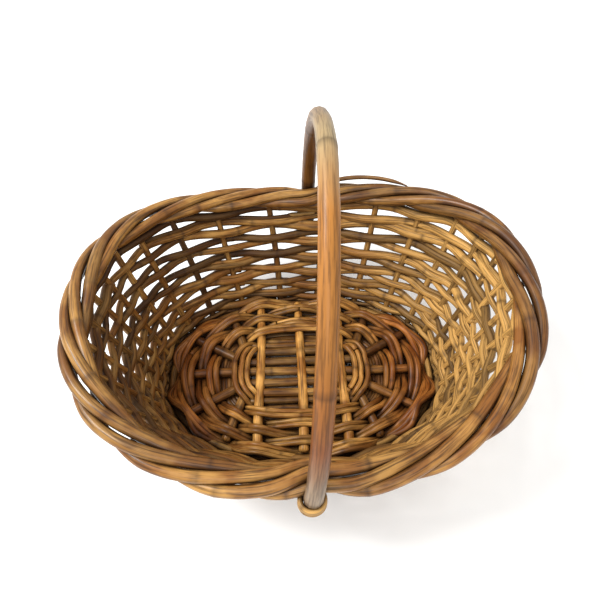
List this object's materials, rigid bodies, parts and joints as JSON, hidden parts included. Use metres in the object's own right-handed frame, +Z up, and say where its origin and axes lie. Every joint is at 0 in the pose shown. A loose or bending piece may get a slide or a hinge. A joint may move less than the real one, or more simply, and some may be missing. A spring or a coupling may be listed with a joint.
{
  "type": "woven market basket",
  "caption": "Oval open-weave willow basket with a saddle-shaped rolled border, flared walls, a stick-and-strand base and one fixed bow handle over the middle, for carrying shopping.",
  "frame": {"origin": "centre of the bounding box in X and Y, on the flat underside of the foot ring", "axes": "+X along the basket's length, +Y across it from the front leg of the handle to the back leg, +Z up"},
  "size_m": [0.42, 0.3572, 0.328],
  "materials": {
    "willow_border": "stained and varnished, golden brown",
    "willow_wall": "stained and varnished, dark brown",
    "willow_base": "stained and varnished, amber brown",
    "willow_handle": "stained and varnished, reddish brown",
    "willow_tie": "stained and varnished, pale tan"
  },
  "bodies": {
    "root": {"base_long_stick_1": "willow_base", "base_long_stick_2": "willow_base", "base_long_stick_3": "willow_base", "base_long_stick_4": "willow_base", "base_long_stick_5": "willow_base", "base_ring_1": "willow_base", "base_ring_2": "willow_base", "base_ring_3": "willow_base", "base_ring_4": "willow_base", "base_ring_5": "willow_base", "base_ring_6": "willow_base", "base_short_stick_1": "willow_base", "base_short_stick_2": "willow_base", "base_short_stick_3": "willow_base", "border_strands_back_left": "willow_border", "border_strands_back_right": "willow_border", "border_strands_front_left": "willow_border", "border_strands_front_right": "willow_border", "foot_ring": "willow_base", "handle_bow": "willow_handle", "handle_lashing_back": "willow_tie", "handle_lashing_front": "willow_tie", "stakes_back_left": "willow_wall", "stakes_back_right": "willow_wall", "stakes_front_left": "willow_wall", "stakes_front_right": "willow_wall", "weave_row_01": "willow_wall", "weave_row_02": "willow_wall", "weave_row_03": "willow_wall", "weave_row_04": "willow_wall", "weave_row_05": "willow_wall", "weave_row_06": "willow_wall", "weave_row_07": "willow_wall", "weave_row_08": "willow_wall", "weave_row_09": "willow_wall", "weave_row_10": "willow_wall", "weave_row_11": "willow_wall", "weave_row_12": "willow_wall", "weave_row_13": "willow_wall"}
  },
  "joints": []
}
